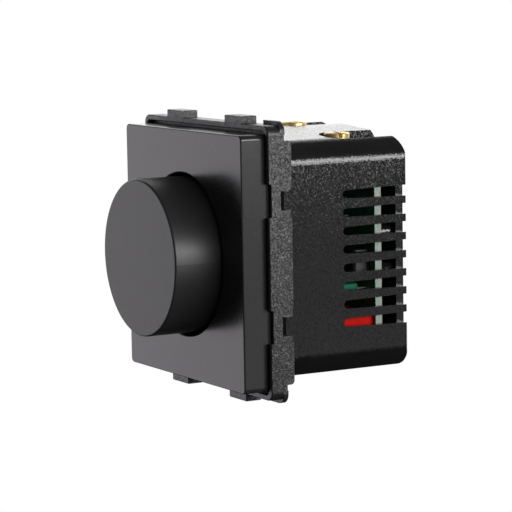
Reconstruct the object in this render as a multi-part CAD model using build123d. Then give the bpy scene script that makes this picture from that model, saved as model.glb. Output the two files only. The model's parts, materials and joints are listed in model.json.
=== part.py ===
from build123d import *
import math
import os

# Rotary dimmer insert for a two-module, 45 mm high wiring-accessory opening.
# Millimetres. +X right as seen from the front, +Y into the wall, +Z up.
# The origin is the centre of the mounting frame's front rim plane.

# Allowances shared by all pieces
THROUGH = 40.0
OVERSHOOT = 1.0
ROOT = 0.2
FIT = 0.1
TINY = 0.01

# Face plate
FACE_W = 44.0
FACE_H = 45.0
FACE_FRONT = -4.6
FACE_WALL = 1.5
SKIRT_REAR = 1.0
SKIRT_WALL = 1.2
FACE_CORNER_R = 0.9
FACE_EDGE = 0.15
HOLE_R = 14.75
COLLAR_WALL = 1.2
HOLE_CHAMFER = 0.2
HOOK_PROUD = 0.5
HOOK_GAP = 0.05
HOOK_T = 0.75

# Knob, which also slides 1 mm inwards to switch
KNOB_R = 14.1
KNOB_FRONT = -13.55
KNOB_REAR = -1.2
KNOB_WALL = 1.6
KNOB_EDGE_R = 0.35
STEM_R = 5.0
STEM_REAR = -4.0
KNOB_FACE_T = 1.8
KNOB_RIBS = 6
KNOB_RIB_HALF = 0.5
KNOB_RIB_DEPTH = 3.5
BORE_FLAT = 1.9
BORE_STOP = 1.2

# Mounting frame
FRAME_W = 46.68
FRAME_H = 48.0
FRAME_WALL = 1.0
FRAME_REAR = 3.2
FLANGE_REAR = 4.6
FLANGE_HALF_H = 21.3
FRAME_CORNER_R = 1.6
FRAME_INNER_R = 1.0
FRAME_STEP_R = 0.7
RIM_CHAMFER = 0.15
FRAME_RIBS = (-17.0, -4.0, 4.0, 17.0)
FRAME_RIB_HALF = 0.6
WEB_FRONT = 1.2
WEB_REAR = 2.4
WEB_HOLE_R = 12.5
TAB_X = 11.0
TAB_W = 6.0
TAB_TOP = 25.3
TAB_REAR = 3.1
TAB_CHAMFER = 0.15
LATCH_Z = 11.0
LATCH_H = 5.8
LATCH_FRONT = 0.75
LATCH_RECESS = 0.3
NOTCH_H = 3.5
NOTCH_FRONT = 2.6
LIP_START_X = 17.6
LIP_END_Z = 22.3
LIP_RAISE = 0.7
LIP_CORNER_R = 1.9
LIP_PROUD = 0.15
TOOTH_GAP = 0.35
TOOTH_ROOT = 0.3
TOOTH_SIDE_GAP = 0.15
TOOTH_BEVEL = 0.3
RING_MARK = (3.25, 17.7)
RING_MARK_R = 0.95
RING_MARK_LINE = 0.25
RING_MARK_PROUD = 0.15

# Housing
HOUSING_W = 42.0
HOUSING_TOP = 22.35
HOUSING_REAR = 29.8
HOUSING_FRONT = WEB_REAR
HOUSING_WALL = 1.5
HOUSING_EDGE_R = 4.3
CROWN_R = 60.0
CROWN_SLOPE = 0.1
REAR_ROUND_DEPTH = 3.6
REAR_ROUND_HEIGHT = 6.8
REAR_BOTTOM_R = 2.3
REAR_CORNER_R = 0.6
STANDOFF_X = 17.0
STANDOFF_Z = 3.5
STANDOFF_R = 1.5

# Vents, eight to a side
VENT_COUNT = 8
VENT_TOP_Z = 11.08
VENT_PITCH = 3.275
VENT_FRONT = 16.35
VENT_H_FRONT = 1.47
VENT_H_REAR = 2.0

# Terminals along the top
TERMINALS = {"left": -15.0, "centre": 0.0, "right": 15.0}
SLOT_ANGLES = {"left": 40.0, "centre": -66.0, "right": -13.0}
TERMINAL_Y = 18.9
CHAMBER_R = 3.2
CHAMBER_WALL = 1.2
CHAMBER_FLOOR = 14.5
SHELF = 1.2
HEAD_R = 2.3
HEAD_H = 1.7
HEAD_PROUD = 0.45
HEAD_SLOT_W = 0.8
HEAD_SLOT_DEPTH = 0.9
SHANK_R = 1.5
BUSBAR_T = 1.0
CLAMP_GAP = 2.8
CLAMP_T = 1.5
CLAMP_Y = (-1.9, 2.8)
CLAMP_SIDE_GAP = 0.15
BUSBAR_SIDE_GAP = 0.05
HEAD_EDGE_R = 0.3
TAIL_W = 1.4
TAIL_T = 0.7
TAIL_SETBACK = 0.7
TAIL_Z = (11.9, 12.5)

# Cover under the frame's web and its screws
COVER_REAR = 4.0
COVER_GAP = 0.1
COVER_PEG_X = 15.5
COVER_PEG_Z = 9.5
COVER_PEG_R = 1.4
COVER_SCREW_X = 16.2
COVER_SCREW_Z = 16.6
SCREW_HEAD_R = 2.0
SCREW_HEAD_H = 1.0
SCREW_R = 1.0
SCREW_SINK = 0.5
SCREW_TIP = 10.0
CROSS_HALF = 1.1
CROSS_LINE = 0.2
CROSS_DEPTH = 0.5
POST_R = 2.6
POST_REAR = 12.6
POST_FLOOR = 2.0
POST_RIB_HALF = 1.0
LEG_X = 12.5
LEG_W = 3.0
LEG_Z = (17.6, 18.8)
LEG_SLOT_Z = 18.45
LEG_SLOT_HALF_H = 1.25
LEG_SLOT_GAP = 0.2
LEG_POCKET_GAP = 0.3

# Potentiometer on the knob's axis
POT_R = 8.0
POT_WALL = 0.6
POT_REAR = 8.2
POT_HOLE_R = 3.9
BUSHING_R = 4.5
BUSHING_FRONT = -2.6
BUSHING_CHAMFER = 0.4
THREAD_GAP = 0.02
WASHER_R = 7.0
WASHER_T = 0.5
NUT_R = 5.6
NUT_T = 2.0
LUG_HALF = 1.1
LUG_END = 6.2
WAFER_FRONT = 7.2
WAFER_HOLE_R = 4.1
TRACK_R = (4.4, 6.6)
TRACK_FRONT = 7.05
TRACK_GAP_ANGLE = 30.0
ROTOR_R = 6.5
ROTOR_Y = (4.8, 6.2)
ROTOR_HUB_REAR = 8.0
ROTOR_BORE_END = 5.7
ROTOR_TAB_HALF = 0.9
ROTOR_TAB_R = 7.2
CONTACT_T = 0.2
CONTACT_BASE = (4.3, 6.3)
FINGER_HALF = 0.6
FINGER_Y = (6.3, 6.95)
FINGER_R = (5.2, 5.8)
START_ANGLE = 210.0
PIN_X = (-5.0, 0.0, 5.0)
POT_PIN_HALF = 0.4
POT_PIN_T = 0.6
POT_PIN_Z = (-11.0, -6.9)
POT_PIN_LEG_TOP = -10.2

# Shaft: D under the knob, round in the bushing, D in the rotor
SHAFT_R = 3.0
SHAFT_FRONT = -10.4
SHAFT_SHOULDER = 4.5
SHAFT_FLAT = 1.5
SHAFT_CLEARANCE = 0.05
DRIVE_R = 2.4
DRIVE_FLAT = 1.7
DRIVE_END = 8.4
PIVOT_R = 1.5
PIVOT_END = 8.9
CLIP_HALF = 1.8
CLIP_FRONT = -10.2
CLIP_Z = (1.55, 1.85)

# Push switch behind the potentiometer
SWITCH_HALF_W = 7.0
SWITCH_HALF_H = 6.5
SWITCH_ROOM_Y = (8.8, 12.2)
SWITCH_ROOM_HALF_W = 6.2
SWITCH_ROOM_HALF_H = 3.7
PLUNGER_R = 3.4
PLUNGER_Y = (8.95, 9.9)
PLUNGER_PIN_R = 1.0
PLUNGER_PIN_END = 10.9
BRIDGE_HALF_W = 5.6
BRIDGE_HALF_H = 1.6
BRIDGE_Y = (9.9, 10.15)
CONTACT_PAD_X = (4.4, 6.0)
CONTACT_PAD_Y = (11.3, 12.2)
CONTACT_PAD_HALF = 1.2
SPRING_START = 10.35
SPRING_H = 1.65
SPRING_PITCH = 0.55
SPRING_R = 2.0
SPRING_WIRE_R = 0.16

# Boards and what is on them
CONTROL_Y = (12.8, 14.0)
POWER_Y = (24.05, 25.4)
BOARD_HALF_W = 19.2
POWER_TOP = 13.1
CONTROL_TOP = 12.2
BOARD_BOTTOM = -19.0
BOARD_NOTCH = (13.2, -13.6)
PIN_END = 25.8
PIN_HALF = 0.32
PIN_Z = 10.2
PIN_PITCH = 2.54
PIN_COUNT = 4
PIN_FIRST_X = -4.2
PIN_START_DEPTH = 0.8
HEADER_T = 2.5
CHIP_X = (-13.0, -8.0)
CHIP_Z = (-9.0, -1.0)
CHIP_T = 1.6
CHIP_LEG_X = (-14.0, -7.0)
CHIP_LEG_T = 0.5
CHIP_LEG_HALF = 0.2
CHIP_LEG_PITCH = 1.27
CHIP_LEGS = 6
CHIP_LEG_TOP = -2.0
SUPPRESSION_X = (5.0, 18.2)
SUPPRESSION_Y = (15.2, POWER_Y[0])
SUPPRESSION_Z = (-17.5, -10.5)
SUPPRESSION_EDGE_R = 0.8
TIMING_X = (10.5, 17.8)
TIMING_Y = (16.0, 21.3)
TIMING_Z = (-8.0, -5.3)
TIMING_EDGE_R = 0.5
TIMING_LEAD_X = (12.0, 16.2)
TIMING_LEAD_R = 0.3
CAN_R = 3.2
CAN_FRONT = 15.4
CAN_X = 4.6
CAN_Z = -4.6
CAN_EDGE_R = 0.4
BRIDGE_RECTIFIER_X = (9.5, 17.0)
BRIDGE_RECTIFIER_Z = (-4.2, 0.4)
BRIDGE_RECTIFIER_T = 3.1
RESISTOR_Z = (5.4, 8.6)
RESISTOR_X = (6.0, 12.0)
RESISTOR_R = 0.9
RESISTOR_LEAD_X = (4.5, 13.5)
RESISTOR_LEAD_R = 0.35
RESISTOR_RISE = 1.5
FUSE_Y = 17.0
FUSE_Z = 4.2
FUSE_X = (-5.0, 14.8)
FUSE_CAP = 5.5
FUSE_R = 2.6
FUSE_TUBE_WALL = 0.5
FUSE_WIRE_R = 0.15
FUSE_CLIP_INSET = 2.5
FUSE_CLIP_HALF = 1.4
FUSE_CLIP_WALL = 0.4
FUSE_CLIP_GRIP = 0.6
TRIAC_X = (-16.4, -6.2)
TRIAC_Y = (17.3, 21.8)
TRIAC_Z = (-3.0, 6.0)
TRIAC_TAB_T = 1.2
TRIAC_TAB_TOP = 11.5
TRIAC_HOLE_Z = 9.0
TRIAC_HOLE_R = 1.8
TRIAC_LEG_Y = (19.0, 19.6)
TRIAC_LEG_Z = (-3.9, -3.3)
TRIAC_LEG_HALF = 0.4
SINK_X = (-18.6, -5.0)
SINK_Z = (-2.8, 11.6)
SINK_T = 1.2
SINK_SCREW_R = 1.2
SINK_HEAD_R = 2.6
SINK_HEAD_T = 1.8
SINK_HEAD_SLOT_HALF = 0.3
SINK_HEAD_SLOT_DEPTH = 0.7
CHOKE_X = -8.6
CHOKE_Z = -11.4
CHOKE_R = (3.2, 5.9)
CHOKE_Y = (17.2, 21.8)
CHOKE_TURNS = 18
CHOKE_TURN_R = (2.4, 6.8)
CHOKE_TURN_Y = (16.4, 22.6)
CHOKE_WIRE_T = 0.75
CHOKE_WIRE_HALF = 0.4


def block(x, y, z):
    """Box between pairs of x, y and z limits."""
    centre = Pos((x[0] + x[1]) / 2, (y[0] + y[1]) / 2, (z[0] + z[1]) / 2)
    return centre * Box(x[1] - x[0], y[1] - y[0], z[1] - z[0])


def rod_y(radius, y, x=0.0, z=0.0):
    """Cylinder along the depth direction."""
    return Pos(x, (y[0] + y[1]) / 2, z) * Rot(X=-90) * Cylinder(radius, y[1] - y[0])


def rod_z(radius, z, x=0.0, y=0.0):
    """Upright cylinder."""
    return Pos(x, y, (z[0] + z[1]) / 2) * Cylinder(radius, z[1] - z[0])


def rod_x(radius, x, y=0.0, z=0.0):
    """Cylinder along the width direction."""
    return Pos((x[0] + x[1]) / 2, y, z) * Rot(Y=90) * Cylinder(radius, x[1] - x[0])


def prism_y(sketch, y):
    """Extrude a sketch drawn in (x, z) between two depths."""
    plane = Plane(origin=(0, y[1], 0), x_dir=(1, 0, 0), z_dir=(0, -1, 0))
    return extrude(plane * sketch, amount=y[1] - y[0])


def prism_x(sketch, x):
    """Extrude a sketch drawn in (y, z) between two widths."""
    plane = Plane(origin=(x[0], 0, 0), x_dir=(0, 1, 0), z_dir=(1, 0, 0))
    return extrude(plane * sketch, amount=x[1] - x[0])


def prism_z(sketch, z):
    """Extrude a sketch drawn in (x, y) between two heights."""
    return extrude(Plane.XY.offset(z[0]) * sketch, amount=z[1] - z[0])


def crown_bend(inset=0.0):
    """Point where the crown's middle arc meets its straight slope."""
    tilt = math.atan(CROWN_SLOPE)
    radius = CROWN_R - inset
    return radius * math.sin(tilt), HOUSING_TOP - CROWN_R + radius * math.cos(tilt)


def crown_height(x):
    """Height of the housing's crowned top at a distance from its middle."""
    bend_x, bend_z = crown_bend()
    if abs(x) < bend_x:
        return HOUSING_TOP - CROWN_R + math.sqrt(CROWN_R**2 - x**2)
    return bend_z - CROWN_SLOPE * (abs(x) - bend_x)


def mirrored_to(sign, shape):
    """The right-hand shape itself, or its twin on the left-hand side."""
    return shape if sign > 0 else mirror(shape, Plane.YZ)


def clock(radius, angle):
    """Point (x, z) at an angle clockwise from the top, seen from the front."""
    turn = math.radians(angle)
    return radius * math.sin(turn), radius * math.cos(turn)


def four_corners(x, z):
    return [(x, z), (-x, z), (-x, -z), (x, -z)]


# ---------------------------------------------------------------- housing


def crowned_outline(inset):
    """Housing cross-section: flat sides, top and bottom crowned, round edges."""
    half = HOUSING_W / 2 - inset
    top = HOUSING_TOP - inset
    bend_x, bend_z = crown_bend(inset)
    side = bend_z - CROWN_SLOPE * (half - bend_x)
    edges = []
    for sign in (1, -1):
        edges += [
            Line((-sign * half, sign * side), (-sign * bend_x, sign * bend_z)),
            ThreePointArc(
                (-sign * bend_x, sign * bend_z), (0, sign * top), (sign * bend_x, sign * bend_z)
            ),
            Line((sign * bend_x, sign * bend_z), (sign * half, sign * side)),
            Line((sign * half, sign * side), (sign * half, -sign * side)),
        ]
    face = make_face(edges)
    corners = [v for v in face.vertices() if abs(abs(v.X) - half) < TINY]
    return fillet(corners, HOUSING_EDGE_R - inset)


def depth_outline(inset):
    """Side view of the housing: large rounding at the top rear, small below."""
    rear = HOUSING_REAR - inset
    top = HOUSING_TOP - inset + TINY
    deep = REAR_ROUND_DEPTH - inset / 2
    high = REAR_ROUND_HEIGHT - inset / 2
    low = REAR_BOTTOM_R - inset / 2
    box = Pos((HOUSING_FRONT + rear) / 2, 0) * Rectangle(rear - HOUSING_FRONT, 2 * top)
    corner = Pos(rear - deep / 2, top - high / 2) * Rectangle(deep, high)
    round_top = Pos(rear - deep, top - high) * Ellipse(deep, high)
    heel = Pos(rear - low / 2, -top + low / 2) * Rectangle(low, low)
    round_heel = Pos(rear - low, -top + low) * Circle(low)
    return box - (corner - round_top) - (heel - round_heel)


def envelope(inset):
    """Outer (inset 0) or inner volume of the housing."""
    depth = (HOUSING_FRONT, HOUSING_REAR - inset)
    half = HOUSING_W / 2 - inset
    body = prism_y(crowned_outline(inset), depth)
    return body & prism_x(depth_outline(inset), (-half - OVERSHOOT, half + OVERSHOOT))


def soften_rear_corners(body):
    """Round the two upright rear corners of the housing."""
    half = HOUSING_W / 2
    plan = Pos(0, HOUSING_REAR - half) * RectangleRounded(2 * half, 2 * half, REAR_CORNER_R)
    return body & prism_z(plan, (-THROUGH, THROUGH))


def slot_outline(x, half_width, y_end):
    """Plan of a U-shaped terminal slot, round at the front, open behind."""
    strip = Pos(x, (TERMINAL_Y + y_end) / 2) * Rectangle(2 * half_width, y_end - TERMINAL_Y)
    return strip + Pos(x, TERMINAL_Y) * Circle(half_width)


def vent_cutter(z, sign):
    """One vent: rounded front end, slightly taller towards the rear."""
    nose_y = VENT_FRONT + VENT_H_FRONT / 2
    nose = Pos(nose_y, z) * Circle(VENT_H_FRONT / 2)
    end = HOUSING_REAR + OVERSHOOT
    a = VENT_H_FRONT / 2
    b = VENT_H_REAR / 2
    taper = Polygon((nose_y, z - a), (end, z - b), (end, z + b), (nose_y, z + a), align=None)
    inner = HOUSING_W / 2 - HOUSING_WALL
    x = sorted((sign * inner, sign * (HOUSING_W / 2 + OVERSHOOT)))
    return prism_x(nose + taper, x)


def terminal_chambers():
    """Walls and floors of the three terminal chambers, rooted in the shell."""
    mid_wall = envelope(HOUSING_WALL / 2)
    walls = []
    for x in TERMINALS.values():
        half = CHAMBER_R + CHAMBER_WALL
        front = TERMINAL_Y - CHAMBER_R - CHAMBER_WALL
        outer = block((x - half, x + half), (front, THROUGH), (CHAMBER_FLOOR - SHELF, THROUGH))
        walls.append(outer & mid_wall)
    return walls


def screw_post(x, z):
    """Round post for a cover screw, tied to the shell by two ribs."""
    depth = (COVER_REAR, POST_REAR)
    side = sorted((x, math.copysign(HOUSING_W / 2 - HOUSING_WALL / 2, x)))
    top = sorted((z, math.copysign(crown_height(x) - HOUSING_WALL / 2, z)))
    half = POST_RIB_HALF
    flat_rib = block(side, depth, (z - half, z + half))
    upright_rib = block((x - half, x + half), depth, top)
    return rod_y(POST_R, depth, x, z) + flat_rib + upright_rib


def rear_housing():
    body = soften_rear_corners(envelope(0)) - envelope(HOUSING_WALL)
    body += terminal_chambers()
    for x, z in four_corners(COVER_SCREW_X, COVER_SCREW_Z):
        body += screw_post(x, z)
    for x, z in four_corners(STANDOFF_X, STANDOFF_Z):
        body += rod_y(STANDOFF_R, (POWER_Y[1], HOUSING_REAR - HOUSING_WALL / 2), x, z)
    for x in TERMINALS.values():
        body -= prism_z(slot_outline(x, CHAMBER_R, THROUGH), (CHAMBER_FLOOR, THROUGH))
        body -= tail(x, FIT)
    for k in range(VENT_COUNT):
        for sign in (-1, 1):
            body -= vent_cutter(VENT_TOP_Z - k * VENT_PITCH, sign)
    for x, z in four_corners(COVER_SCREW_X, COVER_SCREW_Z):
        body -= rod_y(SCREW_R, (COVER_REAR - OVERSHOOT, POST_REAR - POST_FLOOR), x, z)
    for sign in (-1, 1):
        for z in (-LATCH_Z, LATCH_Z):
            body += snap_tooth(sign, z)
    return body


def snap_tooth(sign, z):
    """Wedge on the housing's side that holds the frame's latch window."""
    root = HOUSING_W / 2 - TOOTH_ROOT
    tip = FRAME_W / 2 - TOOTH_GAP
    front = NOTCH_FRONT + TOOTH_GAP
    outline = Polygon(
        (root, front), (tip - TOOTH_BEVEL, front), (tip, front + TOOTH_BEVEL),
        (tip, FLANGE_REAR - ROOT), (root, FLANGE_REAR + TOOTH_BEVEL), align=None,
    )
    half = NOTCH_H / 2 - TOOTH_SIDE_GAP
    return mirrored_to(sign, prism_z(outline, (z - half, z + half)))


# ---------------------------------------------------------------- frame


def flange_outline():
    """Side wall of the frame, deeper along its middle, with rounded steps."""
    half = FRAME_H / 2
    wall = Pos(FRAME_REAR / 2, 0) * Rectangle(FRAME_REAR, 2 * half)
    deep = Pos(FLANGE_REAR / 2, 0) * Rectangle(FLANGE_REAR, 2 * FLANGE_HALF_H)
    face = wall + deep
    steps = [v for v in face.vertices() if abs(v.X - FLANGE_REAR) < TINY]
    return fillet(steps, FRAME_STEP_R)


def frame_outline():
    """Front view of the frame's outside."""
    return RectangleRounded(FRAME_W, FRAME_H, FRAME_CORNER_R)


def frame_opening():
    """Front view of the space inside the frame's walls."""
    return RectangleRounded(FRAME_W - 2 * FRAME_WALL, FRAME_H - 2 * FRAME_WALL, FRAME_INNER_R)


def frame_side(sign):
    """One side wall with its two latch windows."""
    outer = FRAME_W / 2
    inner = outer - FRAME_WALL
    rear = FLANGE_REAR + OVERSHOOT
    side = prism_x(flange_outline(), (inner, outer)) & prism_y(frame_outline(), (-OVERSHOOT, rear))
    across = (inner - OVERSHOOT, outer + OVERSHOOT)
    for z in (-LATCH_Z, LATCH_Z):
        tall = (z - LATCH_H / 2, z + LATCH_H / 2)
        notch = (z - NOTCH_H / 2, z + NOTCH_H / 2)
        side -= block(across, (-OVERSHOOT, LATCH_FRONT), tall)
        side -= block((outer - LATCH_RECESS, across[1]), (-OVERSHOOT, rear), tall)
        side -= block(across, (NOTCH_FRONT, rear), notch)
    return mirrored_to(sign, side)


def snap_tab(x, sign):
    """Retaining tab on the frame's top or bottom edge."""
    z = sorted((sign * (FRAME_H / 2 - ROOT), sign * TAB_TOP))
    tab = block((x - TAB_W / 2, x + TAB_W / 2), (0, TAB_REAR), z)
    edge = [e for e in tab.edges().filter_by(Axis.X) if abs(e.center().Z * sign - TAB_TOP) < TINY]
    return chamfer(edge, TAB_CHAMFER)


def corner_lip(sign):
    """Raised lip that wraps a rear corner on the frame's right-hand side."""
    high = FRAME_H + 2 * LIP_RAISE
    outer = RectangleRounded(FRAME_W, high, LIP_CORNER_R)
    ring = prism_y(outer - frame_opening(), (WEB_REAR, FRAME_REAR + LIP_PROUD))
    z = sorted((sign * LIP_END_Z, sign * high))
    return ring & block((LIP_START_X, FRAME_W), (0, FLANGE_REAR), z)


def ring_mark():
    """Small raised ring on the frame's right-hand side."""
    y, z = RING_MARK
    surface = FRAME_W / 2
    outer = rod_x(RING_MARK_R, (surface - FIT, surface + RING_MARK_PROUD), y, z)
    inner = rod_x(RING_MARK_R - RING_MARK_LINE, (surface - OVERSHOOT, surface + OVERSHOOT), y, z)
    return outer - inner


def leg_slot(x, z, side_gap, depth):
    """Space round a face-plate leg where it passes a wall."""
    middle = math.copysign(LEG_SLOT_Z, z)
    wide = (x - LEG_W / 2 - side_gap, x + LEG_W / 2 + side_gap)
    return block(wide, depth, (middle - LEG_SLOT_HALF_H, middle + LEG_SLOT_HALF_H))


def frame_ring():
    """Walls of the frame, open where the latch windows are."""
    ring = prism_y(frame_outline() - frame_opening(), (0, FRAME_REAR))
    for sign in (-1, 1):
        gap = sorted((sign * (FRAME_W / 2 - FRAME_WALL), sign * (FRAME_W / 2 + OVERSHOOT)))
        for z in (-LATCH_Z, LATCH_Z):
            ring -= block(gap, (-OVERSHOOT, FLANGE_REAR), (z - LATCH_H / 2, z + LATCH_H / 2))
        ring += frame_side(sign)
    return chamfer([e for e in ring.edges() if abs(e.center().Y) < TINY], RIM_CHAMFER)


def mounting_frame():
    web = prism_y(frame_opening(), (WEB_FRONT, WEB_REAR)) - rod_y(WEB_HOLE_R, (0, THROUGH))
    for x, z in four_corners(LEG_X, LEG_SLOT_Z):
        web -= leg_slot(x, z, LEG_SLOT_GAP, (0, THROUGH))
    body = frame_ring() + web
    for sign in (-1, 1):
        for x in (-TAB_X, TAB_X):
            body += snap_tab(x, sign)
        for z in FRAME_RIBS:
            x = sorted((sign * (HOUSING_W / 2 + FIT), sign * (FRAME_W / 2 - FRAME_WALL)))
            body += block(x, (WEB_REAR, FLANGE_REAR - 2 * ROOT), (z - FRAME_RIB_HALF, z + FRAME_RIB_HALF))
        body += corner_lip(sign)
    return body + ring_mark()


# ---------------------------------------------------------------- face plate and knob


def face_leg(x, z):
    """Snap leg of the face plate, hooked behind the frame's web."""
    outward = math.copysign(1, z)
    thick = sorted((z, outward * LEG_Z[1]))
    hook = sorted((z, outward * (LEG_Z[1] + HOOK_PROUD)))
    wide = (x - LEG_W / 2, x + LEG_W / 2)
    end = WEB_REAR + HOOK_GAP + HOOK_T
    leg = block(wide, (FACE_FRONT + FACE_WALL - ROOT, end), thick)
    return leg + block(wide, (WEB_REAR + HOOK_GAP, end), hook)


def face_plate():
    body = prism_y(RectangleRounded(FACE_W, FACE_H, FACE_CORNER_R), (FACE_FRONT, SKIRT_REAR))
    body = chamfer(body.faces().sort_by(Axis.Y)[0].edges(), FACE_EDGE)
    back = FACE_FRONT + FACE_WALL
    inner = Rectangle(FACE_W - 2 * SKIRT_WALL, FACE_H - 2 * SKIRT_WALL)
    body -= prism_y(inner, (back, SKIRT_REAR + OVERSHOOT))
    body += rod_y(HOLE_R + COLLAR_WALL, (back, SKIRT_REAR - FIT))
    body -= rod_y(HOLE_R, (FACE_FRONT - OVERSHOOT, SKIRT_REAR + OVERSHOOT))
    rim = [
        e for e in body.edges().filter_by(GeomType.CIRCLE)
        if abs(e.radius - HOLE_R) < TINY and abs(e.center().Y - FACE_FRONT) < TINY
    ]
    body = chamfer(rim, HOLE_CHAMFER)
    for x, z in four_corners(LEG_X, LEG_Z[0]):
        body += face_leg(x, z)
    return body


def knob():
    body = rod_y(KNOB_R, (KNOB_FRONT, KNOB_REAR))
    body = fillet(body.edges().sort_by(Axis.Y)[0], KNOB_EDGE_R)
    floor = KNOB_FRONT + KNOB_FACE_T
    body -= rod_y(KNOB_R - KNOB_WALL, (floor, KNOB_REAR + OVERSHOOT))
    body += rod_y(STEM_R, (floor - ROOT, STEM_REAR))
    rib = block(
        (-KNOB_RIB_HALF, KNOB_RIB_HALF), (floor - ROOT, floor + KNOB_RIB_DEPTH),
        (STEM_R - KNOB_RIB_HALF, KNOB_R - KNOB_WALL + ROOT),
    )
    for k in range(KNOB_RIBS):
        body += Rot(Y=360 * (k + 0.5) / KNOB_RIBS) * rib
    bore = rod_y(SHAFT_R, (floor + BORE_STOP, STEM_REAR + OVERSHOOT))
    bore -= block((-SHAFT_R, SHAFT_R), (-THROUGH, 0), (BORE_FLAT, SHAFT_R))
    return body - bore


def pot_shaft():
    """D-shaped under the knob, round in the bushing, D-shaped in the rotor."""
    body = rod_y(SHAFT_R, (SHAFT_FRONT, SHAFT_SHOULDER))
    body -= block((-SHAFT_R, SHAFT_R), (-THROUGH, STEM_REAR + ROOT), (SHAFT_FLAT, SHAFT_R))
    drive = rod_y(DRIVE_R, (SHAFT_SHOULDER, DRIVE_END))
    drive -= block((-SHAFT_R, SHAFT_R), (0, THROUGH), (DRIVE_FLAT, SHAFT_R))
    return body + drive + rod_y(PIVOT_R, (DRIVE_END, PIVOT_END))


def knob_spring_clip():
    """Leaf that wedges the shaft's flat against the knob's bore."""
    return block((-CLIP_HALF, CLIP_HALF), (CLIP_FRONT, STEM_REAR - 2 * ROOT), CLIP_Z)


# ---------------------------------------------------------------- potentiometer and switch


def inner_cover():
    plate = prism_y(offset(crowned_outline(HOUSING_WALL), -COVER_GAP), (HOUSING_FRONT, COVER_REAR))
    for x, z in four_corners(COVER_PEG_X, COVER_PEG_Z):
        plate += rod_y(COVER_PEG_R, (COVER_REAR - FIT, CONTROL_Y[0]), x, z)
    plate -= rod_y(BUSHING_R + FIT, (0, COVER_REAR + OVERSHOOT))
    for x, z in four_corners(LEG_X, LEG_SLOT_Z):
        plate -= leg_slot(x, z, LEG_POCKET_GAP, (0, WEB_REAR + OVERSHOOT))
    for screw in cover_screw_bodies(FIT):
        plate -= screw
    return plate


def cover_screw_bodies(gap):
    """Four countersunk screws, or the slightly larger holes that they sit in."""
    screws = []
    cone = Cone(SCREW_HEAD_R + gap, SCREW_R + gap, SCREW_HEAD_H)
    for x, z in four_corners(COVER_SCREW_X, COVER_SCREW_Z):
        head = Pos(x, HOUSING_FRONT + SCREW_SINK, z) * Rot(X=-90) * cone
        shank = rod_y(SCREW_R + gap, (HOUSING_FRONT + SCREW_HEAD_H - FIT, SCREW_TIP), x, z)
        screws.append(head + shank)
    return screws


def cover_screws():
    long = (-CROSS_HALF, CROSS_HALF)
    thin = (-CROSS_LINE, CROSS_LINE)
    cross = block(long, (0, CROSS_DEPTH), thin) + block(thin, (0, CROSS_DEPTH), long)
    places = four_corners(COVER_SCREW_X, COVER_SCREW_Z)
    cut = []
    for (x, z), screw in zip(places, cover_screw_bodies(0)):
        cut.append(screw - Pos(x, HOUSING_FRONT - FIT, z) * cross)
    return Compound(children=cut)


def pot_shell():
    """Metal cup of the potentiometer, with its inner stop lug."""
    floor = COVER_REAR + POT_WALL
    body = rod_y(POT_R, (COVER_REAR, POT_REAR)) - rod_y(POT_R - POT_WALL, (floor, POT_REAR + OVERSHOOT))
    body -= rod_y(POT_HOLE_R, (0, floor + OVERSHOOT))
    low = (-POT_R + POT_WALL / 2, -ROTOR_R - CLAMP_SIDE_GAP)
    return body + block((-LUG_HALF, LUG_HALF), (floor - FIT, LUG_END), low)


def pot_bushing():
    body = rod_y(BUSHING_R, (BUSHING_FRONT, COVER_REAR))
    body += rod_y(POT_HOLE_R, (COVER_REAR - FIT, COVER_REAR + POT_WALL))
    body = chamfer(body.edges().sort_by(Axis.Y)[0], BUSHING_CHAMFER)
    return body - rod_y(SHAFT_R + SHAFT_CLEARANCE, (BUSHING_FRONT - OVERSHOOT, THROUGH))


def pot_washer():
    ring = rod_y(WASHER_R, (WEB_REAR - WASHER_T, WEB_REAR))
    return ring - rod_y(BUSHING_R + THREAD_GAP, (0, THROUGH))


def pot_nut():
    rear = WEB_REAR - WASHER_T
    hexagon = prism_y(RegularPolygon(NUT_R, 6, major_radius=False), (rear - NUT_T, rear))
    return hexagon - rod_y(BUSHING_R + THREAD_GAP, (-THROUGH, THROUGH))


def pot_wafer():
    """Phenolic disc that carries the track and closes the cup."""
    disc = rod_y(POT_R - POT_WALL, (WAFER_FRONT, POT_REAR))
    return disc - rod_y(WAFER_HOLE_R, (0, THROUGH))


def resistive_track():
    ring = rod_y(TRACK_R[1], (TRACK_FRONT, WAFER_FRONT)) - rod_y(TRACK_R[0], (0, THROUGH))
    low = clock(THROUGH, 180 - TRACK_GAP_ANGLE)
    high = clock(THROUGH, 180 + TRACK_GAP_ANGLE)
    return ring - prism_y(Polygon((0, 0), low, high, align=None), (0, THROUGH))


def wiper_rotor():
    body = rod_y(ROTOR_R, ROTOR_Y) + rod_y(POT_HOLE_R, (ROTOR_Y[1] - FIT, ROTOR_HUB_REAR))
    tab_depth = (ROTOR_Y[0], ROTOR_Y[1] - FIT)
    tab = block((-ROTOR_TAB_HALF, ROTOR_TAB_HALF), tab_depth, (ROTOR_R - ROOT, ROTOR_TAB_R))
    body += Rot(Y=START_ANGLE) * tab
    body -= rod_y(SHAFT_R + SHAFT_CLEARANCE + THREAD_GAP, (0, ROTOR_BORE_END))
    hole = rod_y(DRIVE_R + SHAFT_CLEARANCE, (0, THROUGH))
    flat = DRIVE_FLAT + SHAFT_CLEARANCE
    return body - (hole - block((-SHAFT_R, SHAFT_R), (0, THROUGH), (flat, SHAFT_R)))


def wiper_contact():
    """Sprung finger that runs on the track."""
    side = (-ROTOR_TAB_HALF, ROTOR_TAB_HALF)
    base = block(side, (ROTOR_Y[1], ROTOR_Y[1] + CONTACT_T), CONTACT_BASE)
    finger = block((-FINGER_HALF, FINGER_HALF), FINGER_Y, FINGER_R)
    return Rot(Y=START_ANGLE) * (base + finger)


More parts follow.
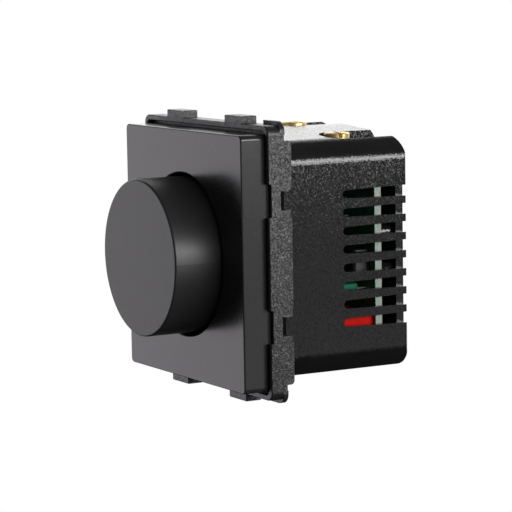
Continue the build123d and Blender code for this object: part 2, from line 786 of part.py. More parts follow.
def pot_terminals():
    pins = []
    for x in PIN_X:
        wide = (x - POT_PIN_HALF, x + POT_PIN_HALF)
        foot = block(wide, (POT_REAR, POT_REAR + POT_PIN_T), POT_PIN_Z)
        leg = block(wide, (POT_REAR, CONTROL_Y[1] + SCREW_SINK), (POT_PIN_Z[0], POT_PIN_LEG_TOP))
        pins.append(foot + leg)
    return Compound(children=pins)


def switch_body():
    outer = ((-SWITCH_HALF_W, SWITCH_HALF_W), (-SWITCH_HALF_H, SWITCH_HALF_H))
    body = block(outer[0], (POT_REAR, CONTROL_Y[0]), outer[1])
    room = ((-SWITCH_ROOM_HALF_W, SWITCH_ROOM_HALF_W), (-SWITCH_ROOM_HALF_H, SWITCH_ROOM_HALF_H))
    body -= block(room[0], SWITCH_ROOM_Y, room[1])
    return body - rod_y(WAFER_HOLE_R, (0, SWITCH_ROOM_Y[0] + ROOT))


def switch_plunger():
    return rod_y(PLUNGER_R, PLUNGER_Y) + rod_y(PLUNGER_PIN_R, (PLUNGER_Y[1] - FIT, PLUNGER_PIN_END))


def switch_bridge():
    bar = block((-BRIDGE_HALF_W, BRIDGE_HALF_W), BRIDGE_Y, (-BRIDGE_HALF_H, BRIDGE_HALF_H))
    return bar - rod_y(PLUNGER_PIN_R, (0, THROUGH))


def switch_contacts():
    pads = []
    for sign in (-1, 1):
        wide = sorted((sign * CONTACT_PAD_X[0], sign * CONTACT_PAD_X[1]))
        pads.append(block(wide, CONTACT_PAD_Y, (-CONTACT_PAD_HALF, CONTACT_PAD_HALF)))
    return Compound(children=pads)


def switch_return_spring():
    """Small compression coil between the bridge and the switch floor."""
    coil = Helix(pitch=SPRING_PITCH, height=SPRING_H, radius=SPRING_R)
    wire = sweep(Plane(coil @ 0, z_dir=coil % 0) * Circle(SPRING_WIRE_R), path=coil)
    return Pos(0, SPRING_START, 0) * Rot(X=-90) * wire


# ---------------------------------------------------------------- boards and what is on them


def link_places():
    return [PIN_FIRST_X + PIN_PITCH * k for k in range(PIN_COUNT)]


def link_pin(x, depth):
    return block((x - PIN_HALF, x + PIN_HALF), depth, (PIN_Z - PIN_HALF, PIN_Z + PIN_HALF))


def link_pins():
    depth = (CONTROL_Y[0] - PIN_START_DEPTH, PIN_END)
    return Compound(children=[link_pin(x, depth) for x in link_places()])


def link_header():
    x = link_places()
    half = PIN_PITCH / 2
    wide = (x[0] - half, x[-1] + half)
    body = block(wide, (CONTROL_Y[1], CONTROL_Y[1] + HEADER_T), (PIN_Z - half, PIN_Z + half))
    for place in x:
        body -= link_pin(place, (0, THROUGH))
    return body


def board(depth, top, holes):
    """Board with its two lower corners cut away, drilled for what passes it."""
    body = block((-BOARD_HALF_W, BOARD_HALF_W), depth, (BOARD_BOTTOM, top))
    for sign in (-1, 1):
        x = sorted((sign * BOARD_NOTCH[0], sign * THROUGH))
        body -= block(x, (0, THROUGH), (-THROUGH, BOARD_NOTCH[1]))
    for item in holes:
        body -= item
    return body


def control_board():
    return board(CONTROL_Y, CONTROL_TOP, [link_pins(), pot_terminals()])


def power_board():
    tails = [tail(x, 0) for x in TERMINALS.values()]
    return board(POWER_Y, POWER_TOP, [link_pins(), capacitor_leads(), resistors(), triac()] + tails)


def control_chip():
    face = CONTROL_Y[1]
    body = block(CHIP_X, (face, face + CHIP_T), CHIP_Z)
    for k in range(CHIP_LEGS):
        z = CHIP_LEG_TOP - CHIP_LEG_PITCH * k
        body += block(CHIP_LEG_X, (face, face + CHIP_LEG_T), (z - CHIP_LEG_HALF, z + CHIP_LEG_HALF))
    return body


def suppression_capacitor():
    body = block(SUPPRESSION_X, SUPPRESSION_Y, SUPPRESSION_Z)
    return fillet(body.edges().filter_by(Axis.X), SUPPRESSION_EDGE_R)


def timing_capacitor():
    body = block(TIMING_X, TIMING_Y, TIMING_Z)
    return fillet(body.edges(), TIMING_EDGE_R)


def capacitor_leads():
    z = sum(TIMING_Z) / 2
    leads = [rod_y(TIMING_LEAD_R, (TIMING_Y[1], PIN_END), x, z) for x in TIMING_LEAD_X]
    return Compound(children=leads)


def electrolytic_capacitor():
    body = rod_y(CAN_R, (CAN_FRONT, POWER_Y[0]), CAN_X, CAN_Z)
    return fillet(body.edges(), CAN_EDGE_R)


def bridge_rectifier():
    body = block(BRIDGE_RECTIFIER_X, (POWER_Y[0] - BRIDGE_RECTIFIER_T, POWER_Y[0]), BRIDGE_RECTIFIER_Z)
    return chamfer(body.edges().filter_by(Axis.Z), CAN_EDGE_R)


def resistors():
    """Two resistors lying above the power board on bent leads."""
    lead_y = POWER_Y[0] - RESISTOR_RISE
    parts = []
    for z in RESISTOR_Z:
        body = rod_x(RESISTOR_R, RESISTOR_X, lead_y, z) + rod_x(RESISTOR_LEAD_R, RESISTOR_LEAD_X, lead_y, z)
        for x in RESISTOR_LEAD_X:
            body += rod_y(RESISTOR_LEAD_R, (lead_y - ROOT, PIN_END), x, z)
        parts.append(body)
    return Compound(children=parts)


def fuse_tube():
    """Glass tube, a press fit inside the two end caps."""
    x = (FUSE_X[0] + FUSE_CAP, FUSE_X[1] - FUSE_CAP)
    radius = FUSE_R - ROOT
    bore = rod_x(radius - FUSE_TUBE_WALL, (-THROUGH, THROUGH), FUSE_Y, FUSE_Z)
    return rod_x(radius, x, FUSE_Y, FUSE_Z) - bore


def fuse_link():
    """Two end caps joined by the fuse wire."""
    left = rod_x(FUSE_R, (FUSE_X[0], FUSE_X[0] + FUSE_CAP), FUSE_Y, FUSE_Z)
    right = rod_x(FUSE_R, (FUSE_X[1] - FUSE_CAP, FUSE_X[1]), FUSE_Y, FUSE_Z)
    wire = rod_x(FUSE_WIRE_R, (FUSE_X[0] + OVERSHOOT, FUSE_X[1] - OVERSHOOT), FUSE_Y, FUSE_Z)
    return left + wire + right


def fuse_clips():
    clips = []
    half = FUSE_R + FUSE_CLIP_WALL
    for x in (FUSE_X[0] + FUSE_CLIP_INSET, FUSE_X[1] - FUSE_CLIP_INSET):
        wide = (x - FUSE_CLIP_HALF, x + FUSE_CLIP_HALF)
        clip = block(wide, (CONTROL_Y[1], FUSE_Y + FUSE_CLIP_GRIP), (FUSE_Z - half, FUSE_Z + half))
        clips.append(clip - rod_x(FUSE_R, (-THROUGH, THROUGH), FUSE_Y, FUSE_Z))
    return Compound(children=clips)


def triac():
    """Switching device: moulded body, metal tab with a hole, three legs."""
    body = block(TRIAC_X, TRIAC_Y, TRIAC_Z)
    tab = block(TRIAC_X, (TRIAC_Y[1] - TRIAC_TAB_T, TRIAC_Y[1]), (TRIAC_Z[1] - ROOT, TRIAC_TAB_TOP))
    middle = sum(TRIAC_X) / 2
    body = body + tab - rod_y(TRIAC_HOLE_R, (0, THROUGH), middle, TRIAC_HOLE_Z)
    for x in (middle - PIN_PITCH, middle, middle + PIN_PITCH):
        wide = (x - TRIAC_LEG_HALF, x + TRIAC_LEG_HALF)
        body += block(wide, TRIAC_LEG_Y, (TRIAC_LEG_Z[0], TRIAC_Z[0] + FIT))
        body += block(wide, (TRIAC_LEG_Y[0], PIN_END), TRIAC_LEG_Z)
    return body


def heat_sink():
    plate = block(SINK_X, (TRIAC_Y[1], TRIAC_Y[1] + SINK_T), SINK_Z)
    return plate - rod_y(SINK_SCREW_R, (0, THROUGH), sum(TRIAC_X) / 2, TRIAC_HOLE_Z)


def heat_sink_screw():
    x = sum(TRIAC_X) / 2
    rear = TRIAC_Y[1] - TRIAC_TAB_T
    front = rear - SINK_HEAD_T
    head = rod_y(SINK_HEAD_R, (front, rear), x, TRIAC_HOLE_Z)
    line = (TRIAC_HOLE_Z - SINK_HEAD_SLOT_HALF, TRIAC_HOLE_Z + SINK_HEAD_SLOT_HALF)
    across = (x - SINK_HEAD_R - OVERSHOOT, x + SINK_HEAD_R + OVERSHOOT)
    head -= block(across, (front - OVERSHOOT, front + SINK_HEAD_SLOT_DEPTH), line)
    return head + rod_y(SINK_SCREW_R, (rear - FIT, TRIAC_Y[1] + SINK_T), x, TRIAC_HOLE_Z)


def choke_core():
    hole = rod_y(CHOKE_R[0], (0, THROUGH), CHOKE_X, CHOKE_Z)
    return rod_y(CHOKE_R[1], CHOKE_Y, CHOKE_X, CHOKE_Z) - hole


def choke_winding():
    """Rectangular turns of wire laid evenly round the ring."""
    side = (-CHOKE_WIRE_HALF, CHOKE_WIRE_HALF)
    outer = block(side, CHOKE_TURN_Y, CHOKE_TURN_R)
    room_y = (CHOKE_TURN_Y[0] + CHOKE_WIRE_T, CHOKE_TURN_Y[1] - CHOKE_WIRE_T)
    room_r = (CHOKE_TURN_R[0] + CHOKE_WIRE_T, CHOKE_TURN_R[1] - CHOKE_WIRE_T)
    loop = outer - block((-OVERSHOOT, OVERSHOOT), room_y, room_r)
    turns = []
    for k in range(CHOKE_TURNS):
        turns.append(Pos(CHOKE_X, 0, CHOKE_Z) * Rot(Y=360 * k / CHOKE_TURNS) * loop)
    return Compound(children=turns)


# ---------------------------------------------------------------- terminals


def head_top(x):
    return crown_height(x) + HEAD_PROUD


def busbar_top(x):
    return head_top(x) - HEAD_H


def tail(x, gap):
    """Strip that leads from a terminal's busbar to the power board."""
    half = TAIL_W / 2 + gap
    middle = TERMINAL_Y - CHAMBER_R + TAIL_SETBACK
    depth = (middle - TAIL_T / 2 - gap, middle + TAIL_T / 2 + gap)
    down = block((x - half, x + half), depth, (TAIL_Z[0] - gap, busbar_top(x)))
    back = block((x - half, x + half), (middle, PIN_END), (TAIL_Z[0] - gap, TAIL_Z[1] + gap))
    return down + back


def terminal_busbar(x):
    z = busbar_top(x)
    plate = slot_outline(x, CHAMBER_R - BUSBAR_SIDE_GAP, TERMINAL_Y + HEAD_R)
    body = prism_z(plate, (z - BUSBAR_T, z)) + tail(x, 0)
    return body - rod_z(SHANK_R + FIT, (z - BUSBAR_T - OVERSHOOT, z + OVERSHOOT), x, TERMINAL_Y)


def terminal_clamp(x):
    """Captive nut plate that the screw draws up against the wires."""
    top = busbar_top(x) - BUSBAR_T - CLAMP_GAP
    half = CHAMBER_R - CLAMP_SIDE_GAP
    depth = (TERMINAL_Y + CLAMP_Y[0], TERMINAL_Y + CLAMP_Y[1])
    body = block((x - half, x + half), depth, (top - CLAMP_T, top))
    body &= prism_z(slot_outline(x, half, THROUGH), (0, THROUGH))
    return body - rod_z(SHANK_R + SHAFT_CLEARANCE, (0, THROUGH), x, TERMINAL_Y)


def terminal_screw(name):
    x = TERMINALS[name]
    top = head_top(x)
    under = top - HEAD_H + THREAD_GAP
    head = rod_z(HEAD_R, (under, top), x, TERMINAL_Y)
    head = fillet(head.edges().sort_by(Axis.Z)[-1], HEAD_EDGE_R)
    half = HEAD_SLOT_W / 2
    across = HEAD_R + OVERSHOOT
    slot = block((-across, across), (-half, half), (top - HEAD_SLOT_DEPTH, top + OVERSHOOT))
    head -= Pos(x, TERMINAL_Y, 0) * Rot(Z=SLOT_ANGLES[name]) * slot
    tip = busbar_top(x) - BUSBAR_T - CLAMP_GAP - CLAMP_T
    return head + rod_z(SHANK_R, (tip, under + FIT), x, TERMINAL_Y)


def build():
    nodes = {
        "mounting_frame": mounting_frame(),
        "face_plate": face_plate(),
        "rear_housing": rear_housing(),
        "inner_cover": inner_cover(),
        "cover_screws": cover_screws(),
        "knob": knob(),
        "knob_spring_clip": knob_spring_clip(),
        "pot_shaft": pot_shaft(),
        "pot_shell": pot_shell(),
        "pot_bushing": pot_bushing(),
        "pot_nut": pot_nut(),
        "pot_washer": pot_washer(),
        "pot_wafer": pot_wafer(),
        "resistive_track": resistive_track(),
        "wiper_rotor": wiper_rotor(),
        "wiper_contact": wiper_contact(),
        "pot_terminals": pot_terminals(),
        "switch_body": switch_body(),
        "switch_plunger": switch_plunger(),
        "switch_bridge": switch_bridge(),
        "switch_contacts": switch_contacts(),
        "switch_return_spring": switch_return_spring(),
        "control_board": control_board(),
        "power_board": power_board(),
        "link_pins": link_pins(),
        "link_header": link_header(),
        "control_chip": control_chip(),
        "suppression_capacitor": suppression_capacitor(),
        "timing_capacitor": timing_capacitor(),
        "capacitor_leads": capacitor_leads(),
        "electrolytic_capacitor": electrolytic_capacitor(),
        "bridge_rectifier": bridge_rectifier(),
        "resistors": resistors(),
        "fuse_tube": fuse_tube(),
        "fuse_link": fuse_link(),
        "fuse_clips": fuse_clips(),
        "triac": triac(),
        "heat_sink": heat_sink(),
        "heat_sink_screw": heat_sink_screw(),
        "choke_core": choke_core(),
        "choke_winding": choke_winding(),
    }
    for name, x in TERMINALS.items():
        nodes["terminal_busbar_" + name] = terminal_busbar(x)
        nodes["terminal_clamp_" + name] = terminal_clamp(x)
        nodes["terminal_screw_" + name] = terminal_screw(name)
    return nodes


def main():
    os.makedirs("parts", exist_ok=True)
    for name, shape in build().items():
        export_step(shape, f"parts/{name}.step")


if __name__ == "__main__":
    main()
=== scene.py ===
import json
import math

import bmesh
import bpy
from mathutils import Matrix, Vector


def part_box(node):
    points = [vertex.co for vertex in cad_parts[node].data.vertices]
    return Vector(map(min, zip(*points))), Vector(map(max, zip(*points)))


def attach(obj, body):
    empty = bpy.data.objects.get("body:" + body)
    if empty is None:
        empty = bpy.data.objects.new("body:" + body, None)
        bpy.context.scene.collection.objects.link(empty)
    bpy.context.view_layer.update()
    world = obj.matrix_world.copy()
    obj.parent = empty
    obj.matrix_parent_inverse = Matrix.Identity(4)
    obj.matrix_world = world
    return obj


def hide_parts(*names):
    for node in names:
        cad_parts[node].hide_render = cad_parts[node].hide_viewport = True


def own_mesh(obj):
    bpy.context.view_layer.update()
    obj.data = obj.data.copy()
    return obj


# Rotary dimmer insert. Metres, in the CAD frame: +X right seen from the front, +Y into the wall, +Z up.

MM = 0.001
WHITE = (1.0, 1.0, 1.0)
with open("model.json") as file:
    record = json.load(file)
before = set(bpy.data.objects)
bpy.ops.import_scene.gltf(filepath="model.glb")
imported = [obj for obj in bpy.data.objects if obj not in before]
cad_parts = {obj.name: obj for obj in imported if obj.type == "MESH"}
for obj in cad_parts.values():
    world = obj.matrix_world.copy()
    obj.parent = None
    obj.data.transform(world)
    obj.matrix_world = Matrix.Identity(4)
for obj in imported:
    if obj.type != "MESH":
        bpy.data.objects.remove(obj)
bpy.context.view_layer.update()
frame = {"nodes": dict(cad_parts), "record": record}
nodes = frame["nodes"]


def add_object(name, data):
    """Object for a mesh, light or camera, put into the scene."""
    made = bpy.data.objects.new(name, data)
    bpy.context.scene.collection.objects.link(made)
    return made


# ---------------------------------------------------------------- camera, light and floor

CAMERA_AZIMUTH = 60.66
CAMERA_ELEVATION = 6.87
CAMERA_ROLL = -0.99
CAMERA_DISTANCE = 436.8 * MM
CAMERA_RIGHT = 13.08 * MM
CAMERA_UP = -0.54 * MM
CAMERA_LENS = 170.58
CAMERA_SENSOR = 36
CAMERA_CLIP = (0.01, 20)

# Name, azimuth and elevation in degrees, distance, width and height in metres, radiance, colour.
LIGHTS = (
    ("key", -62, -9, 0.80, 0.52, 0.56, 1.40, (1.0, 0.965, 1.03)),
    ("side", 108, 9.6, 0.62, 0.54, 0.15, 11.0, WHITE),
    ("low_right", 116, -14, 0.64, 0.50, 0.14, 0.55, WHITE),
    ("rear_high", 192, 26, 0.62, 0.42, 0.30, 2.0, WHITE),
    ("rear_low", 198, -14, 0.70, 0.50, 0.42, 0.9, WHITE),
)

AMBIENT = 0.11
BACKDROP = 1.8
BACKDROP_AZIMUTH = -120.0
BACKDROP_ELEVATION = 5.0
BACKDROP_EDGE = (0.66, 0.95)
BACKDROP_FOOT = (-0.10, 0.04)

FLOOR_DROP = 0.6
FLOOR_HALF = 4.0
FLOOR_LOOK = {"Base Color": (0.04, 0.04, 0.04, 1), "Roughness": 0.9, "Specular IOR Level": 0.1}

RANGE_SOCKETS = ("From Min", "From Max", "To Min", "To Max")


def toward(azimuth, elevation):
    """Unit direction at an azimuth (0 in front, 90 to the right) and elevation in degrees."""
    turn, lift = math.radians(azimuth), math.radians(elevation)
    level = math.cos(lift)
    return Vector((math.sin(turn) * level, -math.cos(turn) * level, math.sin(lift)))


def make_camera():
    """Camera aimed at the middle of the face plate, a little off centre and rolled."""
    back = toward(CAMERA_AZIMUTH, CAMERA_ELEVATION)
    right = Vector((0, 0, 1)).cross(back).normalized()
    up = back.cross(right)
    aim = Vector((0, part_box("face_plate")[0].y, 0))
    place = aim + back * CAMERA_DISTANCE + right * CAMERA_RIGHT + up * CAMERA_UP
    roll = math.radians(CAMERA_ROLL)
    side = right * math.cos(roll) + up * math.sin(roll)
    top = up * math.cos(roll) - right * math.sin(roll)
    data = bpy.data.cameras.new("camera")
    data.lens = CAMERA_LENS
    data.sensor_width = CAMERA_SENSOR
    data.clip_start, data.clip_end = CAMERA_CLIP
    camera = add_object("camera", data)
    turn = Matrix((side, top, back)).transposed().to_4x4()
    camera.matrix_world = Matrix.Translation(place) @ turn
    bpy.context.scene.camera = camera


def soft_box(name, azimuth, elevation, distance, width, height, radiance, colour):
    """Rectangular light that faces the object; its power follows from radiance and size."""
    data = bpy.data.lights.new(name, "AREA")
    data.shape = "RECTANGLE"
    data.size, data.size_y = width, height
    data.energy = radiance * math.pi * width * height
    data.color = colour
    place = toward(azimuth, elevation) * distance
    turn = (-place).to_track_quat("-Z", "Y").to_matrix().to_4x4()
    add_object(name, data).matrix_world = Matrix.Translation(place) @ turn


def smooth_step(tree, source, edges, height):
    """Rises smoothly from nothing to a height as the source goes from one edge to the other."""
    step = tree.nodes.new("ShaderNodeMapRange")
    step.interpolation_type = "SMOOTHSTEP"
    for key, value in zip(RANGE_SOCKETS, (*edges, 0.0, height)):
        step.inputs[key].default_value = value
    tree.links.new(source, step.inputs["Value"])
    return step.outputs["Result"]


def make_world():
    """White to the camera; for light, a dim room with one bright wall at the back left."""
    world = bpy.data.worlds.new("studio")
    world.use_nodes = True
    tree = world.node_tree
    place = tree.nodes.new("ShaderNodeTexCoord").outputs["Generated"]
    along = tree.nodes.new("ShaderNodeVectorMath")
    along.operation = "DOT_PRODUCT"
    along.inputs[1].default_value = toward(BACKDROP_AZIMUTH, BACKDROP_ELEVATION)
    tree.links.new(place, along.inputs[0])
    split = tree.nodes.new("ShaderNodeSeparateXYZ")
    tree.links.new(place, split.inputs["Vector"])
    wall = smooth_step(tree, along.outputs["Value"], BACKDROP_EDGE, BACKDROP)
    raised = smooth_step(tree, split.outputs["Z"], BACKDROP_FOOT, 1.0)
    room = tree.nodes.new("ShaderNodeMath")
    room.operation = "MULTIPLY_ADD"
    room.inputs[2].default_value = AMBIENT
    tree.links.new(wall, room.inputs[0])
    tree.links.new(raised, room.inputs[1])
    seen = tree.nodes.new("ShaderNodeMix")
    seen.inputs["B"].default_value = 1.0
    path = tree.nodes.new("ShaderNodeLightPath")
    tree.links.new(path.outputs["Is Camera Ray"], seen.inputs["Factor"])
    tree.links.new(room.outputs["Value"], seen.inputs["A"])
    background = tree.nodes["Background"]
    background.inputs["Color"].default_value = (*WHITE, 1)
    tree.links.new(seen.outputs["Result"], background.inputs["Strength"])
    bpy.context.scene.world = world
    bpy.context.scene.view_settings.view_transform = "Standard"


def floor_material():
    """Plain white to the camera; otherwise a dark matt surface, which throws little light up."""
    material = bpy.data.materials.new("floor_white")
    material.use_nodes = True
    tree = material.node_tree
    shader = tree.nodes["Principled BSDF"]
    for key, value in FLOOR_LOOK.items():
        shader.inputs[key].default_value = value
    glow = tree.nodes.new("ShaderNodeEmission")
    path = tree.nodes.new("ShaderNodeLightPath")
    seen = tree.nodes.new("ShaderNodeMixShader")
    sources = (path.outputs["Is Camera Ray"], shader.outputs[0], glow.outputs[0])
    for source, socket in zip(sources, seen.inputs):
        tree.links.new(source, socket)
    tree.links.new(seen.outputs[0], tree.nodes["Material Output"].inputs["Surface"])
    return material


def make_floor():
    mesh = bpy.data.meshes.new("floor")
    signs = ((-1, -1), (1, -1), (1, 1), (-1, 1))
    corners = [(x * FLOOR_HALF, y * FLOOR_HALF, -FLOOR_DROP) for x, y in signs]
    mesh.from_pydata(corners, [], [(0, 1, 2, 3)])
    mesh.materials.append(floor_material())
    floor = add_object("floor", mesh)


# ---------------------------------------------------------------- materials

# Sockets of a Mix node that mixes colours.
MIX_COLOUR_A = 6
MIX_COLOUR_B = 7
MIX_COLOUR_RESULT = 2

CHARCOAL = (0.026, 0.025, 0.027)
RESIST_GREEN = (0.012, 0.085, 0.045)
TRACK_GREEN = (0.020, 0.135, 0.070)
FIBRE_DARK = (0.28, 0.35, 0.31)
FIBRE_LIGHT = (0.37, 0.43, 0.39)
GLASS_GREEN = (0.86, 0.93, 0.92)
GLASS_CLEAR = (0.95, 0.98, 0.98)


class Shade:
    """A material under construction: its principled shader and short ways to add nodes."""

    def __init__(self, name, roughness, metallic=0.0, **sockets):
        self.material = bpy.data.materials.new(name)
        self.material.use_nodes = True
        self.tree = self.material.node_tree
        self.shader = self.tree.nodes["Principled BSDF"]
        self.shader.inputs["Roughness"].default_value = roughness
        self.shader.inputs["Metallic"].default_value = metallic
        for key, value in sockets.items():
            self.shader.inputs[key.replace("_", " ")].default_value = value
        self.place = self.tree.nodes.new("ShaderNodeTexCoord").outputs["Object"]

    def node(self, kind, **values):
        made = self.tree.nodes.new(kind)
        for key, value in values.items():
            setattr(made, key, value)
        return made

    def link(self, source, target):
        self.tree.links.new(source, target)

    def stretched(self, scale):
        mapping = self.node("ShaderNodeMapping")
        mapping.inputs["Scale"].default_value = scale
        self.link(self.place, mapping.inputs["Vector"])
        return mapping.outputs["Vector"]

    def noise(self, scale, detail, rough=0.55, vector=None):
        made = self.node("ShaderNodeTexNoise")
        made.inputs["Scale"].default_value = scale
        made.inputs["Detail"].default_value = detail
        made.inputs["Roughness"].default_value = rough
        self.link(vector or self.place, made.inputs["Vector"])
        return made.outputs["Fac"]

    def cells(self, scale):
        made = self.node("ShaderNodeTexVoronoi")
        made.inputs["Scale"].default_value = scale
        self.link(self.place, made.inputs["Vector"])
        return made.outputs

    def ramp(self, source, *stops):
        """Colour ramp between two stops, each (position, colour)."""
        made = self.node("ShaderNodeValToRGB")
        for element, (position, colour) in zip(made.color_ramp.elements, stops):
            element.position = position
            element.color = (*colour, 1)
        self.link(source, made.inputs["Fac"])
        return made.outputs["Color"]

    def spread(self, source, low, high, within=(0.3, 0.7)):
        """Runs from low to high as the source crosses the range that it is within."""
        made = self.node("ShaderNodeMapRange")
        for key, value in zip(RANGE_SOCKETS, (*within, low, high)):
            made.inputs[key].default_value = value
        self.link(source, made.inputs["Value"])
        return made.outputs["Result"]

    def bump(self, source, depth, strength=1.0):
        made = self.node("ShaderNodeBump")
        made.inputs["Strength"].default_value = strength
        made.inputs["Distance"].default_value = depth
        self.link(source, made.inputs["Height"])
        return made.outputs["Normal"]

    def grains(self, scale, tilt):
        """Surface normal leaning a little at random from one grain to the next."""
        centred = self.node("ShaderNodeVectorMath", operation="SUBTRACT")
        centred.inputs[1].default_value = (0.5, 0.5, 0.5)
        self.link(self.cells(scale)["Color"], centred.inputs[0])
        lean = self.node("ShaderNodeVectorMath", operation="MULTIPLY_ADD")
        lean.inputs[1].default_value = (tilt, tilt, tilt)
        self.link(centred.outputs["Vector"], lean.inputs[0])
        self.link(self.node("ShaderNodeNewGeometry").outputs["Normal"], lean.inputs[2])
        unit = self.node("ShaderNodeVectorMath", operation="NORMALIZE")
        self.link(lean.outputs["Vector"], unit.inputs[0])
        return unit.outputs["Vector"]

    def colour(self, source):
        self.link(source, self.shader.inputs["Base Color"])

    def rough(self, source):
        self.link(source, self.shader.inputs["Roughness"])

    def normal(self, source):
        self.link(source, self.shader.inputs["Normal"])

    def drift(self, base, scale, detail, darker, lighter, within=(0.35, 0.65)):
        """Base colour that drifts slowly between a darker and a lighter tint."""
        factors = (1 - darker, 1 + lighter)
        tints = [tuple(min(1.0, c * factor) for c in base) for factor in factors]
        self.colour(self.ramp(self.noise(scale, detail), *zip(within, tints)))


def moulded(name, base, roughness, grain, depth, vary=0.10, **sockets):
    """Moulded plastic: slow colour drift, and a grain in the surface and its gloss."""
    s = Shade(name, roughness, **sockets)
    s.drift(base, scale=160, detail=4, darker=vary, lighter=vary)
    gloss = s.noise(scale=grain * 0.7, detail=3)
    s.rough(s.spread(gloss, low=roughness - 0.05, high=roughness + 0.05))
    s.normal(s.bump(s.noise(scale=grain, detail=2, rough=0.6), depth))
    return s.material


def eroded(name, base, roughness, grain, tilt):
    """Plastic from a spark-eroded mould: every little grain leans its own way."""
    s = Shade(name, roughness)
    s.drift(base, scale=190, detail=5, darker=0.15, lighter=0.15)
    gloss = s.noise(scale=grain * 0.5, detail=3)
    s.rough(s.spread(gloss, low=roughness - 0.05, high=roughness + 0.08))
    s.normal(s.grains(grain, tilt))
    return s.material


def metal(name, base, roughness, brush=(1, 1, 1), metallic=1.0):
    """Machined or rolled metal: brushed lines along the short scale axis."""
    s = Shade(name, roughness, metallic=metallic)
    lines = s.noise(scale=900, detail=4, rough=0.6, vector=s.stretched(brush))
    s.drift(base, scale=260, detail=3, darker=0.12, lighter=0.06, within=(0.3, 0.7))
    s.rough(s.spread(lines, low=roughness - 0.08, high=roughness + 0.12))
    s.normal(s.bump(lines, depth=2e-6, strength=0.6))
    return s.material


def board(name, roughness):
    """Solder resist with faint copper tracks on the faces, bare glass fibre on the edges."""
    s = Shade(name, roughness)
    tracks = s.cells(scale=420)["Distance"]
    face = s.ramp(tracks, (0.30, RESIST_GREEN), (0.38, TRACK_GREEN))
    fibre = s.ramp(s.noise(scale=1800, detail=3), (0.4, FIBRE_DARK), (0.6, FIBRE_LIGHT))
    split = s.node("ShaderNodeSeparateXYZ")
    s.link(s.node("ShaderNodeNewGeometry").outputs["True Normal"], split.inputs["Vector"])
    flat = s.node("ShaderNodeMath", operation="ABSOLUTE")
    s.link(split.outputs["Y"], flat.inputs[0])
    mix = s.node("ShaderNodeMix", data_type="RGBA")
    on_face = s.spread(flat.outputs["Value"], low=0, high=1, within=(0.4, 0.6))
    s.link(on_face, mix.inputs["Factor"])
    s.link(fibre, mix.inputs[MIX_COLOUR_A])
    s.link(face, mix.inputs[MIX_COLOUR_B])
    s.colour(mix.outputs[MIX_COLOUR_RESULT])
    s.normal(s.bump(tracks, depth=1e-5, strength=0.4))
    return s.material


def glass(name, roughness):
    """Clear tube glass with a faint green drift and a little haze."""
    s = Shade(name, roughness, Transmission_Weight=1.0, IOR=1.48)
    s.rough(s.spread(s.noise(scale=700, detail=2), low=0.03, high=0.10))
    s.colour(s.ramp(s.noise(scale=300, detail=2), (0.4, GLASS_GREEN), (0.6, GLASS_CLEAR)))
    return s.material


# Slot, its kind, and its look. Grain is in cells per metre and depth in metres.
MATERIALS = {
    "satin_charcoal": (moulded, dict(base=CHARCOAL, roughness=0.23, grain=7000, depth=5e-7, vary=0.04)),
    "frame_plastic": (eroded, dict(base=(0.021, 0.021, 0.022), roughness=0.34, grain=5800, tilt=0.26)),
    "grained_black": (eroded, dict(base=(0.009, 0.009, 0.0095), roughness=0.135, grain=6000, tilt=0.125)),
    "brass": (metal, dict(base=(0.92, 0.70, 0.30), roughness=0.36, metallic=0.75)),
    "zinc_steel": (metal, dict(base=(0.66, 0.67, 0.70), roughness=0.30)),
    "spring_steel": (metal, dict(base=(0.50, 0.51, 0.53), roughness=0.26, brush=(1, 0.1, 1))),
    "tinned_metal": (metal, dict(base=(0.70, 0.71, 0.72), roughness=0.32)),
    "can_aluminium": (metal, dict(base=(0.20, 0.205, 0.21), roughness=0.46, brush=(1, 0.08, 1))),
    "phenolic": (moulded, dict(base=(0.20, 0.10, 0.045), roughness=0.6, grain=2600, depth=8e-6, vary=0.2)),
    "carbon": (moulded, dict(base=(0.015, 0.015, 0.016), roughness=0.55, grain=5000, depth=3e-6)),
    "nylon_black": (moulded, dict(base=(0.014, 0.014, 0.015), roughness=0.45, grain=4200, depth=5e-6)),
    "nylon_white": (moulded, dict(
        base=(0.66, 0.65, 0.60), roughness=0.45, grain=4200, depth=4e-6, vary=0.04)),
    "board_green": (board, dict(roughness=0.35)),
    "red_film": (moulded, dict(
        base=(0.62, 0.008, 0.004), roughness=0.45, grain=1500, depth=1.2e-5, Specular_IOR_Level=0.06)),
    "green_film": (moulded, dict(
        base=(0.003, 0.12, 0.06), roughness=0.42, grain=1500, depth=1.2e-5, Specular_IOR_Level=0.15)),
    "resistor_body": (moulded, dict(base=(0.16, 0.28, 0.42), roughness=0.35, grain=1800, depth=6e-6)),
    "fuse_glass": (glass, dict(roughness=0.06)),
    "ferrite": (moulded, dict(base=(0.045, 0.046, 0.05), roughness=0.65, grain=3000, depth=1.2e-5)),
    "enamelled_copper": (metal, dict(base=(0.72, 0.26, 0.08), roughness=0.22)),
}

# The knob is the plate's plastic, with a duller skin.
KNOB_LOOK = dict(base=CHARCOAL, roughness=0.40, grain=6400, depth=5e-6, vary=0.05)


def dress_nodes():
    """Give every CAD node the material of its slot."""
    made = {name: build(name, **look) for name, (build, look) in MATERIALS.items()}
    for part in frame["record"]["subparts"]:
        mesh = nodes[part["node"]].data
        mesh.materials.clear()
        mesh.materials.append(made[part["material_slot"]])
    nodes["knob"].data.materials[0] = moulded("satin_knob", **KNOB_LOOK)


# ---------------------------------------------------------------- softened edges and the spring

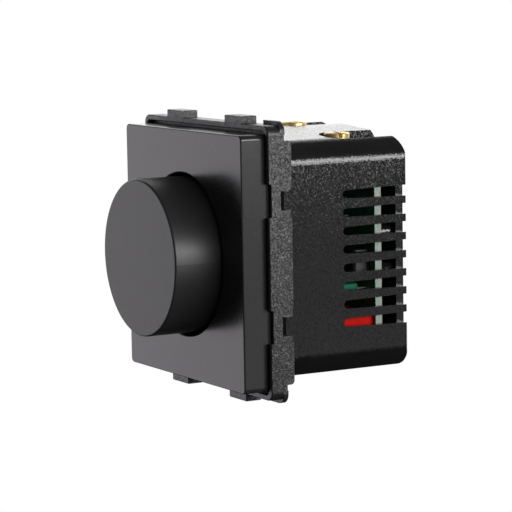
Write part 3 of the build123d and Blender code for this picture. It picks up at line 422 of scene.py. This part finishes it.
EDGE_WIDTHS = {
    "face_plate": 0.14 * MM,
    "mounting_frame": 0.10 * MM,
    "terminal_screw_left": 0.06 * MM,
    "terminal_screw_centre": 0.06 * MM,
    "terminal_screw_right": 0.06 * MM,
}
EDGE_SEGMENTS = 2
EDGE_ANGLE = math.radians(25)
WELD_DISTANCE = 1e-6
FLAT_ANGLE = math.radians(0.5)

SPRING_R = 2.0 * MM
SPRING_WIRE_R = 0.155 * MM
SPRING_TURNS = 3
SPRING_STEPS = 36
SPRING_SIDES = 12


def soften_edges(name, width):
    """Small rounded edges on a CAD node, made by modifiers over its own mesh."""
    modifiers = nodes[name].modifiers
    modifiers.new("weld", "WELD").merge_threshold = WELD_DISTANCE
    flat = modifiers.new("flat", "DECIMATE")
    flat.decimate_type = "DISSOLVE"
    flat.angle_limit = FLAT_ANGLE
    bevel = modifiers.new("bevel", "BEVEL")
    bevel.width = width
    bevel.segments = EDGE_SEGMENTS
    bevel.limit_method = "ANGLE"
    bevel.angle_limit = EDGE_ANGLE
    bevel.harden_normals = False


def wire_ring(build, turn, start, climb):
    """Ring of vertices around the spring's wire, at a turn in radians from its front end."""
    outward = Vector((math.cos(turn), 0, -math.sin(turn)))
    along = Vector((-math.sin(turn) * SPRING_R, climb, -math.cos(turn) * SPRING_R)).normalized()
    across = along.cross(outward)
    centre = outward * SPRING_R + Vector((0, start + climb * turn, 0))
    ring = []
    for side in range(SPRING_SIDES):
        angle = 2 * math.pi * side / SPRING_SIDES
        spoke = outward * math.cos(angle) + across * math.sin(angle)
        ring.append(build.verts.new(centre + spoke * SPRING_WIRE_R))
    return ring


def return_spring():
    """Switch spring as one swept wire."""
    low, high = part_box("switch_return_spring")
    start = low.y + SPRING_WIRE_R
    rise = high.y - SPRING_WIRE_R - start
    climb = rise / (2 * math.pi * SPRING_TURNS)
    build = bmesh.new()
    turns = [2 * math.pi * k / SPRING_STEPS for k in range(SPRING_STEPS * SPRING_TURNS + 1)]
    rings = [wire_ring(build, turn, start, climb) for turn in turns]
    for near, far in zip(rings, rings[1:]):
        for j in range(SPRING_SIDES):
            i = (j + 1) % SPRING_SIDES
            build.faces.new((near[j], near[i], far[i], far[j]))
    build.faces.new(rings[0])
    build.faces.new(rings[-1])
    bmesh.ops.recalc_face_normals(build, faces=build.faces)
    mesh = bpy.data.meshes.new("return_spring")
    build.to_mesh(mesh)
    build.free()
    for face in mesh.polygons:
        face.use_smooth = len(face.vertices) == 4
    mesh.materials.append(nodes["switch_return_spring"].data.materials[0])
    spring = add_object("return_spring", mesh)
    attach(spring, "root")
    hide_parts("switch_return_spring")
    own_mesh(spring)


dress_nodes()
return_spring()
for name, width in EDGE_WIDTHS.items():
    soften_edges(name, width)
make_camera()
make_world()
for light in LIGHTS:
    soft_box(*light)
make_floor()
